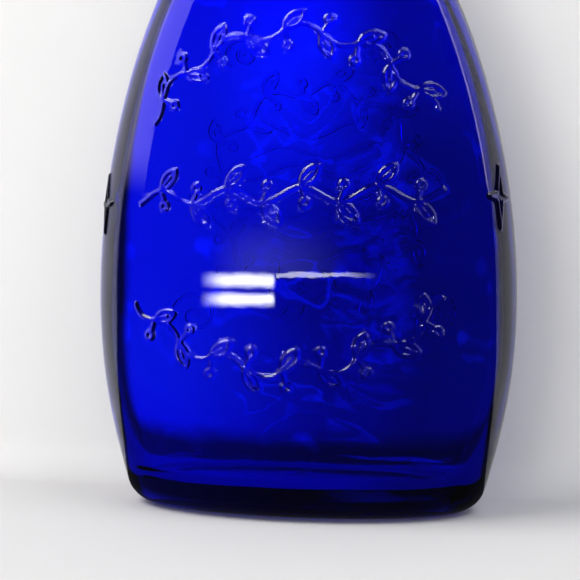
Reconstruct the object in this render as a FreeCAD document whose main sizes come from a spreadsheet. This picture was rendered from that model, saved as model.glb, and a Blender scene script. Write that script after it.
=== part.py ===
import FreeCAD
import Part
import Sketcher
import os

# A flattened, barrel-shaped bottle moulded in one piece of glass, closed by a tapered cork.
# It stands on its foot ring with +Z up. The broad ornamented side faces -Y and the width
# runs along X. The origin is the middle of the foot, on the surface the bottle stands on.

DIMENSIONS = {
    # the body's outer shape, measured over the raised ornament
    "overall_height": 205,
    "base_width": 106.5,
    "base_depth": 53,
    "belly_level": 65,
    "belly_width": 129,
    "belly_depth": 62,
    "shoulder_drop": 34,
    "shoulder_width": 93.5,
    "shoulder_depth": 47,
    "crown_drop": 20,
    "crown_width": 73,
    "crown_depth": 40,
    "root_drop": 8,
    "root_width": 38,
    "root_depth": 33,
    # the neck and its lip band
    "neck_length": 17,
    "neck_diameter": 30,
    "lip_diameter": 35,
    "lip_height": 9,
    "lip_rounding": 2.4,
    # the glass
    "wall": 4,
    "shoulder_wall": 4.6,
    "crown_wall": 5.6,
    "root_wall": 6.5,
    "base_thickness": 9,
    "base_rounding": 10,
    "floor_rounding": 6,
    "foot_width": 7,
    "push_up": 2,
    "push_up_slope": 5,
    # the tapered seat in the mouth, and its cork
    "bore_diameter": 18.5,
    "seat_widening": 2.5,
    "seat_depth": 18,
    "mouth_rounding": 0.8,
    "cork_length": 28,
    "cork_inserted": 16,
    "cork_chamfer": 0.8,
    "cork_clearance": 0.05,
}

doc = FreeCAD.newDocument("bottle")
sheet = doc.addObject("Spreadsheet::Sheet", "Sizes")
for row, (alias, value) in enumerate(DIMENSIONS.items(), start=1):
    sheet.set(f"A{row}", alias)
    sheet.set(f"B{row}", str(value))
    sheet.setAlias(f"B{row}", alias)
doc.recompute()

# Levels above the foot and the cork's seat, each a formula of the sheet's cells.
BELLY = "Sizes.belly_level"
NECK = "(Sizes.overall_height - Sizes.neck_length)"
ROOT = f"({NECK} - Sizes.root_drop)"
CROWN = f"({NECK} - Sizes.crown_drop)"
SHOULDER = f"({NECK} - Sizes.shoulder_drop)"
FLOOR = "Sizes.base_thickness"
LIP = "(Sizes.overall_height - Sizes.lip_height)"
SEAT = "(Sizes.overall_height - Sizes.seat_depth)"
MOUTH_RADIUS = "((Sizes.bore_diameter + Sizes.seat_widening) / 2)"
TAPER = "(Sizes.seat_widening / 2 / Sizes.seat_depth)"
CORK_END = "(Sizes.overall_height - Sizes.cork_inserted)"
CORK_TOP = f"({CORK_END} + Sizes.cork_length)"


def part_way(lower, upper, share):
    """A level between two others."""
    return f"({lower} + ({upper} - {lower}) * {share})"


def on_arc(end, middle, left):
    """A width on the shallow arc that is upright at the belly. Left is the share of the way to
    the belly that remains, and the arc has lost the square of it."""
    return f"({middle} - ({middle} - {end}) * {left} ^ 2)"


def origin_plane(body, role):
    return next(f for f in body.Origin.OriginFeatures if f.Role == role)


def new_sketch(body, name, role, level="0"):
    """A sketch on one of the body's own planes, raised by the formula given."""
    sketch = body.newObject("Sketcher::SketchObject", name)
    sketch.AttachmentSupport = [(origin_plane(body, role), "")]
    sketch.MapMode = "FlatFace"
    sketch.setExpression("AttachmentOffset.Base.z", f"({level}) * 1mm")
    return sketch


def bind(sketch, kind, places, name, formula):
    """Adds a dimension to a sketch and ties it to a formula of the sheet's cells."""
    index = sketch.addConstraint(Sketcher.Constraint(kind, *places, sheet.evalExpression(formula)))
    sketch.renameConstraint(index, name)
    sketch.setExpression(f"Constraints.{name}", f"({formula}) * 1mm")


def oval(body, name, level, width, depth):
    """An ellipse round the bottle's axis, with its width along X."""
    sketch = new_sketch(body, name, "XY_Plane", level)
    half_width = sheet.evalExpression(width) / 2
    half_depth = sheet.evalExpression(depth) / 2
    sketch.addGeometry(Part.Ellipse(FreeCAD.Vector(0, 0, 0), half_width, half_depth))
    sketch.exposeInternalGeometry(0)
    sketch.addConstraint(Sketcher.Constraint("Coincident", 0, 3, -1, 1))
    sketch.addConstraint(Sketcher.Constraint("Horizontal", 1))
    bind(sketch, "Distance", (1,), "width", width)
    bind(sketch, "Distance", (2,), "depth", depth)
    return sketch


def ring(body, name, level, diameter):
    """A circle round the bottle's axis."""
    sketch = new_sketch(body, name, "XY_Plane", level)
    radius = sheet.evalExpression(diameter) / 2
    sketch.addGeometry(Part.Circle(FreeCAD.Vector(0, 0, 0), FreeCAD.Vector(0, 0, 1), radius))
    sketch.addConstraint(Sketcher.Constraint("Coincident", 0, 3, -1, 1))
    bind(sketch, "Diameter", (0,), "diameter", diameter)
    return sketch


def half_section(body, name, corners):
    """A closed outline in the XZ plane, to be turned round Z. Each corner is a pair of
    formulas: its distance from the axis and its level."""
    sketch = new_sketch(body, name, "XZ_Plane")
    points = [
        FreeCAD.Vector(sheet.evalExpression(across), sheet.evalExpression(up), 0)
        for across, up in corners
    ]
    for index, point in enumerate(points):
        sketch.addGeometry(Part.LineSegment(point, points[(index + 1) % len(points)]))
    for index, (across, up) in enumerate(corners):
        following = (index + 1) % len(points)
        sketch.addConstraint(Sketcher.Constraint("Coincident", index, 2, following, 1))
        if points[index].x == 0:
            sketch.addConstraint(Sketcher.Constraint("PointOnObject", index, 1, -2))
        else:
            bind(sketch, "DistanceX", (-1, 1, index, 1), f"across_{index}", across)
        bind(sketch, "DistanceY", (-1, 1, index, 1), f"up_{index}", up)
    return sketch


def rims(shape, radius, level):
    """The names of a shape's full circles of this radius at this level."""
    found = []
    for index, edge in enumerate(shape.Edges, start=1):
        circle = edge.Curve
        if circle.TypeId != "Part::GeomCircle" or abs(circle.Radius - radius) > 0.01:
            continue
        if abs(circle.Center.z - level) < 0.01:
            found.append(f"Edge{index}")
    return found


def level_edges(shape, level, reach):
    """The names of a shape's edges that lie flat at this level and reach this far along X."""
    found = []
    for index, edge in enumerate(shape.Edges, start=1):
        box = edge.BoundBox
        flat = box.ZLength < 0.01 and abs(box.ZMin - level) < 0.01
        if flat and abs(box.XMax - reach) < 0.05:
            found.append(f"Edge{index}")
    return found


def round_edges(body, name, base, edges, radius):
    """A fillet of this radius on the named edges of a feature."""
    fillet = body.newObject("PartDesign::Fillet", name)
    fillet.Base = (base, edges)
    fillet.setExpression("Radius", f"({radius}) * 1mm")
    doc.recompute()
    return fillet


def loft(body, kind, name, sections):
    """A smooth skin through the sections, in order up the bottle."""
    skin = body.newObject(kind, name)
    skin.Profile = sections[0]
    skin.Sections = sections[1:]
    for section in sections:
        section.Visibility = False
    doc.recompute()
    return skin


# The glass bottle: the outer skin is a loft through ovals that turn into the round neck.
bottle = doc.addObject("PartDesign::Body", "Bottle")
bottle.Label = "bottle"
outer = [
    ("Foot", "0", "Sizes.base_width", "Sizes.base_depth"),
    (
        "LowerSide",
        part_way("0", BELLY, "0.5"),
        on_arc("Sizes.base_width", "Sizes.belly_width", "0.5"),
        on_arc("Sizes.base_depth", "Sizes.belly_depth", "0.5"),
    ),
    ("Belly", BELLY, "Sizes.belly_width", "Sizes.belly_depth"),
    (
        "UpperSide",
        part_way(BELLY, SHOULDER, "0.5"),
        on_arc("Sizes.shoulder_width", "Sizes.belly_width", "0.5"),
        on_arc("Sizes.shoulder_depth", "Sizes.belly_depth", "0.5"),
    ),
    ("Shoulder", SHOULDER, "Sizes.shoulder_width", "Sizes.shoulder_depth"),
    ("Crown", CROWN, "Sizes.crown_width", "Sizes.crown_depth"),
    ("Root", ROOT, "Sizes.root_width", "Sizes.root_depth"),
]
skin = [oval(bottle, *section) for section in outer]
skin.append(ring(bottle, "NeckStart", NECK, "Sizes.neck_diameter"))
skin.append(ring(bottle, "NeckEnd", LIP, "Sizes.neck_diameter"))
outside = loft(bottle, "PartDesign::AdditiveLoft", "Outside", skin)

# The band round the lip, rounded on both rims.
band = bottle.newObject("PartDesign::Pad", "LipBand")
band.Profile = ring(bottle, "LipOutline", LIP, "Sizes.lip_diameter")
band.setExpression("Length", "Sizes.lip_height * 1mm")
doc.recompute()
lip_radius = sheet.evalExpression("Sizes.lip_diameter / 2")
lip_rims = rims(band.Shape, lip_radius, sheet.evalExpression(LIP))
lip_rims += rims(band.Shape, lip_radius, sheet.evalExpression("Sizes.overall_height"))
LIP_ROUNDING = "min(Sizes.lip_rounding; Sizes.lip_height * 0.45)"
rounded_lip = round_edges(bottle, "LipRounding", band, lip_rims, LIP_ROUNDING)

# The rounded corner all round the foot.
foot_edge = level_edges(rounded_lip.Shape, 0, sheet.evalExpression("Sizes.base_width / 2"))
rounded_foot = round_edges(
    bottle, "FootRounding", rounded_lip, foot_edge, "Sizes.base_rounding"
)

# The hollow, a second loft that leaves the wall, the thicker shoulder and the heavy base. It
# closes to the bore at the foot of the cork's seat.
inner = [
    (
        f"Inner{name}",
        level,
        f"({width} - 2 * Sizes.{glass})",
        f"({depth} - 2 * Sizes.{glass})",
    )
    for (name, level, width, depth), glass in zip(
        outer, ["wall", "wall", "wall", "wall", "shoulder_wall", "crown_wall", "root_wall"]
    )
]
inner[0] = (inner[0][0], FLOOR, *inner[0][2:])
hollow = [oval(bottle, *section) for section in inner]
hollow.append(ring(bottle, "Bore", SEAT, "Sizes.bore_diameter"))
cavity = loft(bottle, "PartDesign::SubtractiveLoft", "Hollow", hollow)

# The hollow's floor meets its wall in a rounded corner.
floor_reach = sheet.evalExpression("Sizes.base_width / 2 - Sizes.wall")
floor_edge = level_edges(cavity.Shape, sheet.evalExpression(FLOOR), floor_reach)
rounded_floor = round_edges(
    bottle, "FloorRounding", cavity, floor_edge, "Sizes.floor_rounding"
)

# The underside is pushed up inside the foot ring.
FLAT_WIDTH = "(Sizes.base_width - 2 * Sizes.base_rounding - 2 * Sizes.foot_width)"
FLAT_DEPTH = "(Sizes.base_depth - 2 * Sizes.base_rounding - 2 * Sizes.foot_width)"
push_up = loft(
    bottle,
    "PartDesign::SubtractiveLoft",
    "PushUp",
    [
        oval(bottle, "PushUpRim", "0", FLAT_WIDTH, FLAT_DEPTH),
        oval(
            bottle,
            "PushUpTop",
            "Sizes.push_up",
            f"({FLAT_WIDTH} - 2 * Sizes.push_up_slope)",
            f"({FLAT_DEPTH} - 2 * Sizes.push_up_slope)",
        ),
    ],
)

# The tapered seat that the cork is pressed into, open at the top.
seat = bottle.newObject("PartDesign::Groove", "Seat")
seat.Profile = half_section(
    bottle,
    "SeatSection",
    [
        ("0", SEAT),
        ("Sizes.bore_diameter / 2", SEAT),
        (MOUTH_RADIUS, "Sizes.overall_height"),
        ("0", "Sizes.overall_height"),
    ],
)
seat.ReferenceAxis = (seat.Profile[0], ["V_Axis"])
seat.Angle = 360
doc.recompute()
mouth_rim = rims(
    seat.Shape,
    sheet.evalExpression(MOUTH_RADIUS),
    sheet.evalExpression("Sizes.overall_height"),
)
round_edges(bottle, "MouthRounding", seat, mouth_rim, "Sizes.mouth_rounding")

# The cork: the same taper as its seat, smaller by the clearance.
cork = doc.addObject("PartDesign::Body", "Cork")
cork.Label = "cork_stopper"


def cork_radius(level):
    """The cork's radius at a level, from the seat's taper and the clearance."""
    return f"(Sizes.bore_diameter / 2 + ({level} - {SEAT}) * {TAPER} - Sizes.cork_clearance)"


turned = cork.newObject("PartDesign::Revolution", "TaperedPlug")
turned.Profile = half_section(
    cork,
    "CorkSection",
    [
        ("0", CORK_END),
        (f"{cork_radius(CORK_END)} - Sizes.cork_chamfer", CORK_END),
        (cork_radius(f"({CORK_END} + Sizes.cork_chamfer)"), f"{CORK_END} + Sizes.cork_chamfer"),
        (cork_radius(f"({CORK_TOP} - Sizes.cork_chamfer)"), f"{CORK_TOP} - Sizes.cork_chamfer"),
        (f"{cork_radius(CORK_TOP)} - Sizes.cork_chamfer", CORK_TOP),
        ("0", CORK_TOP),
    ],
)
turned.ReferenceAxis = (turned.Profile[0], ["V_Axis"])
turned.Angle = 360
doc.recompute()

# Every object is checked before any piece is written.
for item in doc.Objects:
    if "Invalid" in item.State or "Error" in item.State:
        raise RuntimeError(f"{item.Label} failed: {item.State}")
os.makedirs("parts", exist_ok=True)
for piece in (bottle, cork):
    if piece.Shape.isNull() or not piece.Shape.isValid():
        raise RuntimeError(f"{piece.Label} has no valid shape")
    piece.Shape.exportStep(f"parts/{piece.Label}.step")
    box = piece.Shape.BoundBox
    print(
        f"{piece.Label}: {len(piece.Shape.Solids)} solid, {piece.Shape.Volume / 1000:.1f} cm3, "
        f"X {box.XMin:.2f}..{box.XMax:.2f}, Y {box.YMin:.2f}..{box.YMax:.2f}, "
        f"Z {box.ZMin:.2f}..{box.ZMax:.2f}"
    )
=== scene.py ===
import math

import bmesh
import bpy
import numpy as np
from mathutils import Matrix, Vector, geometry


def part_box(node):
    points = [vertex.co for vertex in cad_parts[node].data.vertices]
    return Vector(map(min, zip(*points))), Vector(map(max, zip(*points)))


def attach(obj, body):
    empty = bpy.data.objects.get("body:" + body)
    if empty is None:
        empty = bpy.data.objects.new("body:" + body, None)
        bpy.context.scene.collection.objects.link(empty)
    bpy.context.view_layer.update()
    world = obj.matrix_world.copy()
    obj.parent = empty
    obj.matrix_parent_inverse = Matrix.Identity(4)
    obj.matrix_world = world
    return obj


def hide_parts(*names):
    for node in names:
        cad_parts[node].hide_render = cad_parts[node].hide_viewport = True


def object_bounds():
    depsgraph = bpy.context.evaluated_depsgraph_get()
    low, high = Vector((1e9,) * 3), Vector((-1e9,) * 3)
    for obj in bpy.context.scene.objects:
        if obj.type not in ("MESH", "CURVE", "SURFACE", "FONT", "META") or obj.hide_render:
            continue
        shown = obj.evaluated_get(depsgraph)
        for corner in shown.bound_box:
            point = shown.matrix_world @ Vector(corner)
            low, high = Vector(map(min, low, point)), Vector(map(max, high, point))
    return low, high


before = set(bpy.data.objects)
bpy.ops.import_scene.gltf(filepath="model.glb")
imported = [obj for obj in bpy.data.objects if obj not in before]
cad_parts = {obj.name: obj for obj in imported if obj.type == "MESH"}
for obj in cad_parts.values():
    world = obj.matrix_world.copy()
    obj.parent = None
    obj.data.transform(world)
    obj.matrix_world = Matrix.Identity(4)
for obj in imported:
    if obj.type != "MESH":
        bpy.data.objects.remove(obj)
cad_low, cad_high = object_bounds()

# ---------------------------------------------------------------- the glass wall
# The bottle is one piece of cobalt glass, moulded in two halves: a flattened barrel on a heavy
# base, a round neck and a lip band. Its outer and inner skins are one closed surface here, so
# light bends at both and is dyed by the glass between them.
bottle_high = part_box("bottle")[1]
HEIGHT = bottle_high.z
BELLY_HALF_WIDTH = bottle_high.x
RIDGE_HEIGHT = 0.0007
BOX_CLEARANCE = 0.00001
BELLY_HALF_DEPTH = bottle_high.y - RIDGE_HEIGHT - BOX_CLEARANCE
NECK_LENGTH = 0.017
NECK_RADIUS = 0.015
NECK_START = HEIGHT - NECK_LENGTH
LIP_RADIUS = 0.0175
LIP_HEIGHT = 0.009
LIP_ROUNDING = 0.0024
LIP_FILLET = 0.0003
BASE_THICKNESS = 0.009
BASE_ROUNDING = 0.010
FLOOR_ROUNDING = 0.006
FOOT_WIDTH = 0.007
PUSH_UP = 0.002
PUSH_UP_SLOPE = 0.005
BORE_RADIUS = 0.00925
MOUTH_RADIUS = 0.0105
MOUTH_ROUNDING = 0.0008
SEAT_DEPTH = 0.018
ROUND_STEPS = 192
# How many rows each part of the skin's profile has.
UNDERSIDE_ROWS, PUSH_UP_ROWS, CORNER_ROWS, SIDE_ROWS, NECK_ROWS = 5, 6, 9, 66, 9
LIP_ROWS, MOUTH_ROWS, SEAT_ROWS, HOLLOW_ROWS, FLOOR_ROWS = 8, 5, 8, 62, 12

# The body's cross-sections from foot to neck: level, half width, half depth, glass thickness.
BELLY_LEVEL = 0.065
SHOULDER_LEVEL = NECK_START - 0.034
CROWN_LEVEL = NECK_START - 0.020
ROOT_LEVEL = NECK_START - 0.008
BASE_HALF_WIDTH, BASE_HALF_DEPTH = 0.05325, 0.0265
SHOULDER_HALF_WIDTH, SHOULDER_HALF_DEPTH = 0.04675, 0.0235
CROWN_HALF_WIDTH, CROWN_HALF_DEPTH = 0.0365, 0.020
ROOT_HALF_WIDTH, ROOT_HALF_DEPTH = 0.019, 0.0165
WALL, SHOULDER_WALL, CROWN_WALL, ROOT_WALL = 0.004, 0.0046, 0.0056, 0.0065


def on_arc(end, middle):
    """Half way between an end and the belly on a shallow arc that is upright at the belly."""
    return middle - (middle - end) / 4


SECTIONS = [
    (0.0, BASE_HALF_WIDTH, BASE_HALF_DEPTH, WALL),
    (
        BELLY_LEVEL / 2,
        on_arc(BASE_HALF_WIDTH, BELLY_HALF_WIDTH),
        on_arc(BASE_HALF_DEPTH, BELLY_HALF_DEPTH),
        WALL,
    ),
    (BELLY_LEVEL, BELLY_HALF_WIDTH, BELLY_HALF_DEPTH, WALL),
    (
        (BELLY_LEVEL + SHOULDER_LEVEL) / 2,
        on_arc(SHOULDER_HALF_WIDTH, BELLY_HALF_WIDTH),
        on_arc(SHOULDER_HALF_DEPTH, BELLY_HALF_DEPTH),
        WALL,
    ),
    (SHOULDER_LEVEL, SHOULDER_HALF_WIDTH, SHOULDER_HALF_DEPTH, SHOULDER_WALL),
    (CROWN_LEVEL, CROWN_HALF_WIDTH, CROWN_HALF_DEPTH, CROWN_WALL),
    (ROOT_LEVEL, ROOT_HALF_WIDTH, ROOT_HALF_DEPTH, ROOT_WALL),
    (NECK_START, NECK_RADIUS, NECK_RADIUS, NECK_RADIUS - BORE_RADIUS),
    (HEIGHT - LIP_HEIGHT, NECK_RADIUS, NECK_RADIUS, NECK_RADIUS - BORE_RADIUS),
]


def smooth_curve(knots, values):
    """A function through the values at the knots whose slope and bend never jump."""
    knots, values = np.asarray(knots), np.asarray(values)
    steps, rises = np.diff(knots), np.diff(values)
    size = len(knots)
    system, right = np.eye(size), np.zeros(size)
    for i in range(1, size - 1):
        system[i, i - 1 : i + 2] = steps[i - 1], 2 * (steps[i - 1] + steps[i]), steps[i]
        right[i] = 6 * (rises[i] / steps[i] - rises[i - 1] / steps[i - 1])
    bends = np.linalg.solve(system, right)

    def at(level):
        i = np.clip(np.searchsorted(knots, level) - 1, 0, size - 2)
        step, before = steps[i], level - knots[i]
        after = step - before
        return (
            (bends[i] * after**3 + bends[i + 1] * before**3) / (6 * step)
            + (values[i] / step - bends[i] * step / 6) * after
            + (values[i + 1] / step - bends[i + 1] * step / 6) * before
        )

    return at


levels = [s[0] for s in SECTIONS]
half_width_at = smooth_curve(levels, [s[1] for s in SECTIONS])
half_depth_at = smooth_curve(levels, [s[2] for s in SECTIONS])
# The hollow starts on the thick base and closes to the bore at the foot of the cork's seat.
hollow = [(BASE_THICKNESS, *SECTIONS[0][1:])] + SECTIONS[1:-2]
hollow_levels = [s[0] for s in hollow] + [HEIGHT - SEAT_DEPTH]
inner_width_at = smooth_curve(hollow_levels, [s[1] - s[3] for s in hollow] + [BORE_RADIUS])
inner_depth_at = smooth_curve(hollow_levels, [s[2] - s[3] for s in hollow] + [BORE_RADIUS])


# A corner turns this many degrees, which is where the leaning side wall takes over.
CORNER_SWEEP = 72


def corner_rows(foot_level, rounding, width_at, depth_at):
    """Rows of a rounded corner from a level floor up to the side wall that it runs into."""
    end = math.radians(CORNER_SWEEP)
    top = foot_level + rounding * (1 - math.cos(end))
    reach = rounding * math.sin(end)
    rows = []
    for turn in np.linspace(0, end, CORNER_ROWS)[:-1]:
        out = rounding * math.sin(turn) - reach
        level = foot_level + rounding * (1 - math.cos(turn))
        rows.append((width_at(top) + out, depth_at(top) + out, level))
    return rows, top


def floor_rows(width, depth, level, count):
    """Rows from near the middle of a flat oval floor out to its rim, which isn't included."""
    return [(width * (i + 1) / count, depth * (i + 1) / count, level) for i in range(count - 1)]


# The rows of the foot, from the middle of the underside to the top of the rounded corner.
foot_corner, side_start = corner_rows(0.0, BASE_ROUNDING, half_width_at, half_depth_at)
rim_width, rim_depth = foot_corner[0][0] - FOOT_WIDTH, foot_corner[0][1] - FOOT_WIDTH
underside = (rim_width - PUSH_UP_SLOPE, rim_depth - PUSH_UP_SLOPE)
foot_rows = floor_rows(*underside, PUSH_UP, UNDERSIDE_ROWS)
for share in np.linspace(0, 1, PUSH_UP_ROWS):
    ease = share * share * (3 - 2 * share)
    out = PUSH_UP_SLOPE * (1 - share)
    foot_rows.append((rim_width - out, rim_depth - out, PUSH_UP * (1 - ease)))
foot_rows.append((rim_width + FOOT_WIDTH / 2, rim_depth + FOOT_WIDTH / 2, 0.0))
foot_rows += foot_corner

# The rows of the side wall are handled apart, because the ornament stands on them.
side_levels = np.linspace(side_start, ROOT_LEVEL, SIDE_ROWS)

# The rows above it: neck, lip band, mouth, tapered seat, hollow and inner floor.
upper_rows = [
    (half_width_at(z), half_depth_at(z), z)
    for z in np.linspace(side_levels[-1], HEIGHT - LIP_HEIGHT - LIP_FILLET, NECK_ROWS)[1:]
]


def round_row(radius, level):
    return (radius, radius, level)


LIP_FOOT = HEIGHT - LIP_HEIGHT
lip_middle = LIP_RADIUS - LIP_ROUNDING
upper_rows.append(round_row(NECK_RADIUS + LIP_FILLET, LIP_FOOT))
for start, turn_level in ((-90, LIP_FOOT + LIP_ROUNDING), (0, HEIGHT - LIP_ROUNDING)):
    for angle in np.radians(np.linspace(start, start + 90, LIP_ROWS)):
        upper_rows.append(
            round_row(
                lip_middle + LIP_ROUNDING * math.cos(angle),
                turn_level + LIP_ROUNDING * math.sin(angle),
            )
        )
for angle in np.radians(np.linspace(90, 180, MOUTH_ROWS)):
    upper_rows.append(
        round_row(
            MOUTH_RADIUS + MOUTH_ROUNDING + MOUTH_ROUNDING * math.cos(angle),
            HEIGHT - MOUTH_ROUNDING + MOUTH_ROUNDING * math.sin(angle),
        )
    )
seat_foot = HEIGHT - SEAT_DEPTH
for share in np.linspace(0, 1, SEAT_ROWS)[1:]:
    level = HEIGHT - MOUTH_ROUNDING - (SEAT_DEPTH - MOUTH_ROUNDING) * share
    radius = BORE_RADIUS + (MOUTH_RADIUS - BORE_RADIUS) * (level - seat_foot) / SEAT_DEPTH
    upper_rows.append(round_row(radius, level))
inner_corner, inner_start = corner_rows(
    BASE_THICKNESS, FLOOR_ROUNDING, inner_width_at, inner_depth_at
)
last_seat_row = len(upper_rows) - 1
for z in np.linspace(seat_foot, inner_start, HOLLOW_ROWS)[1:]:
    upper_rows.append((inner_width_at(z), inner_depth_at(z), z))
upper_rows += inner_corner[::-1]
upper_rows += floor_rows(*inner_corner[0][:2], BASE_THICKNESS, FLOOR_ROWS)[::-1]

# ---------------------------------------------------------------- the raised ornament
# The mould cuts the ornament as round-bottomed grooves, so it stands on the glass as soft
# ridges: three runs of leafy vine and two stars in front, and a wreath of the vine behind.
# A point of it is a pair: the way round from the middle of its side, and the level.
RIDGE_HALF_WIDTH = 0.0010
TAU = 2 * math.pi


def arc(centre, radius, start, end, steps=14):
    """Points along part of a circle. The start and end are in degrees."""
    turns = np.radians(np.linspace(start, end, steps))
    return [
        (centre[0] + radius * math.cos(t), centre[1] + radius * math.sin(t)) for t in turns
    ]


# The motifs are drawn at a size of about 1 and made smaller where they are placed.
LEAF_HOLLOW, LEAF_EDGE_RADIUS, LEAF_EDGE_TURN = 0.42, 0.653, 50
VEIN_FOOT, VEIN_TOP = -0.12, 0.58
VOLUTE_RADIUS, VOLUTE_TURNS = 0.45, 1.6
STAR_HEIGHT, STAR_WIDTH, STAR_WAIST = 0.75, 0.36, 0.13


def leaf():
    """A pointed leaf growing upwards from its foot at (0, 0), with one vein."""
    turn = LEAF_EDGE_TURN
    edges = [
        arc((-LEAF_HOLLOW, 0.5), LEAF_EDGE_RADIUS, -turn, turn),
        arc((LEAF_HOLLOW, 0.5), LEAF_EDGE_RADIUS, 180 - turn, 180 + turn),
    ]
    return edges + [[(0, VEIN_FOOT), (0, VEIN_TOP)]]


def volute():
    """A curl that winds outwards from (0, 0)."""
    turns = np.linspace(0, VOLUTE_TURNS * TAU, 40)
    reaches = VOLUTE_RADIUS * turns / turns[-1]
    return [[(reach * math.cos(t), reach * math.sin(t)) for reach, t in zip(reaches, turns)]]


def star():
    """A plain star with four points, taller than it is wide."""
    points = []
    for i in range(9):
        reach = STAR_WAIST if i % 2 else (STAR_WIDTH if i % 4 else STAR_HEIGHT)
        turn = math.radians(90 + 45 * i)
        points.append((reach * math.cos(turn), reach * math.sin(turn)))
    return [points]


def placed(lines, centre, lean=0.0, size=1.0):
    """The lines of a motif turned by its lean and set at its centre."""
    cosine, sine = math.cos(lean), math.sin(lean)
    return [
        [
            (
                centre[0] + size * (x * cosine - y * sine),
                centre[1] + size * (x * sine + y * cosine),
            )
            for x, y in line
        ]
        for line in lines
    ]


# The vine sways about its row's middle. A leaf grows from each crest and trough, and on the
# other side of the stem a berry stands on a short stalk.
VINE_SWAY = 0.0021
VINE_WAVE = 0.0215
LEAF_LENGTH = 0.0072
LEAF_LEAN = 0.75
LEAF_GAP = 0.0006
BERRY_RADIUS = 0.0011
STALK_LENGTH = 0.0034
STALK_LEAN = 0.0012
STEM_STEP = 0.0009


def vine(length):
    """A run of vine along X, centred at (0, 0)."""
    along = np.linspace(-length / 2, length / 2, int(length / STEM_STEP))
    lines = [[(x, VINE_SWAY * math.sin(TAU * x / VINE_WAVE)) for x in along]]
    bends = int(length / (VINE_WAVE / 2))
    for step in range(bends):
        x = (step - (bends - 1) / 2) * VINE_WAVE / 2
        height = VINE_SWAY * math.sin(TAU * x / VINE_WAVE)
        side = 1 if step % 2 == 0 else -1
        lean = -LEAF_LEAN if side > 0 else math.pi + LEAF_LEAN
        lines += placed(leaf(), (x, height + side * LEAF_GAP), lean, LEAF_LENGTH)
        tip = (x + STALK_LEAN, height - side * STALK_LENGTH)
        lines.append([(x, height), tip])
        lines.append(arc((tip[0], tip[1] - side * BERRY_RADIUS), BERRY_RADIUS, 0, 360, 12))
    return lines


def bent(lines, centre, radius, outwards):
    """The lines of a straight run wrapped round an arch. Outwards is 1 for an arch that opens
    downwards and -1 for one that opens upwards."""
    return [
        [
            (
                centre[0] + (radius + outwards * y) * math.sin(x / radius),
                centre[1] + outwards * (radius + outwards * y) * math.cos(x / radius),
            )
            for x, y in line
        ]
        for line in lines
    ]


# The arched top run, the straight middle run between the two stars, and the bowed bottom run.
TOP_LENGTH, TOP_CENTRE, TOP_RADIUS = 0.101, (0.0, 0.089), 0.050
MIDDLE_LENGTH, MIDDLE_LEVEL = 0.091, 0.0925
BOTTOM_LENGTH, BOTTOM_CENTRE, BOTTOM_RADIUS = 0.103, (0.0, 0.107), 0.064
STAR_WAY, STAR_SIZE = 0.0645, 0.012
front_lines = bent(vine(TOP_LENGTH), TOP_CENTRE, TOP_RADIUS, 1)
front_lines += placed(vine(MIDDLE_LENGTH), (0.0, MIDDLE_LEVEL))
front_lines += bent(vine(BOTTOM_LENGTH), BOTTOM_CENTRE, BOTTOM_RADIUS, -1)
for side in (-1, 1):
    front_lines += placed(star(), (side * STAR_WAY, MIDDLE_LEVEL), size=STAR_SIZE)

# The wreath on the back is the same vine, closed into a ring of ten whole waves, with a curl in
# each corner outside it. Rolling lines, like drifts of snow, fill it.
WREATH_LEVEL = 0.098
WREATH_WAVES = 10
WREATH_LENGTH = WREATH_WAVES * VINE_WAVE
WREATH_RADIUS = WREATH_LENGTH / TAU
LOW_CURL_PLACE, LOW_CURL_SIZE = (0.041, 0.058), 0.019
HIGH_CURL_PLACE, HIGH_CURL_SIZE = (0.024, 0.144), 0.013
back_lines = bent(vine(WREATH_LENGTH), (0.0, WREATH_LEVEL), WREATH_RADIUS, 1)
for side in (-1, 1):
    for (way, level), size in (
        (LOW_CURL_PLACE, LOW_CURL_SIZE),
        (HIGH_CURL_PLACE, HIGH_CURL_SIZE),
    ):
        back_lines += placed(volute(), (side * way, level), size=size)
DRIFT_REACH, DRIFT_TOP, DRIFT_COUNT, DRIFT_POINTS = 0.0255, 0.0205, 7, 26
DRIFT_SWAY, DRIFT_WAVES, DRIFT_SHIFT = 0.0022, 210, 150
for rise in np.linspace(-DRIFT_TOP, DRIFT_TOP, DRIFT_COUNT):
    reach = math.sqrt(DRIFT_REACH**2 - rise**2)
    level = WREATH_LEVEL + rise
    back_lines.append(
        [
            (x, level + DRIFT_SWAY * math.sin(DRIFT_WAVES * x + DRIFT_SHIFT * level))
            for x in np.linspace(-reach, reach, DRIFT_POINTS)
        ]
    )

# Equal ways round an oval of the belly's proportions, to turn a distance along the glass into
# the angle that the cross-sections use. Angle 0 is +X and the front is at -90 degrees.
FLATNESS = BELLY_HALF_DEPTH / BELLY_HALF_WIDTH
angle_table = np.linspace(0, TAU, 4001)
speed = np.sqrt(np.sin(angle_table) ** 2 + (FLATNESS * np.cos(angle_table)) ** 2)
way_table = np.concatenate(([0], np.cumsum((speed[1:] + speed[:-1]) / 2) * TAU / 4000))
WAY_ROUND = way_table[-1]
FRONT_WAY, BACK_WAY = 0.75 * WAY_ROUND, 0.25 * WAY_ROUND


def flat_place(point, middle_way, direction):
    """A point of the ornament in the flat layout: its way round, and its level, both in units
    of length at the belly."""
    scale = BELLY_HALF_WIDTH / half_width_at(point[1])
    return (middle_way * BELLY_HALF_WIDTH + direction * point[0] * scale, point[1])


def on_glass(way, level):
    """The place on the smooth outer wall at a way round and level of the flat layout."""
    angle = np.interp(np.asarray(way) / BELLY_HALF_WIDTH, way_table, angle_table)
    return np.stack(
        [
            half_width_at(level) * np.cos(angle),
            half_depth_at(level) * np.sin(angle),
            np.asarray(level) + 0 * angle,
        ],
        axis=-1,
    )


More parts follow.
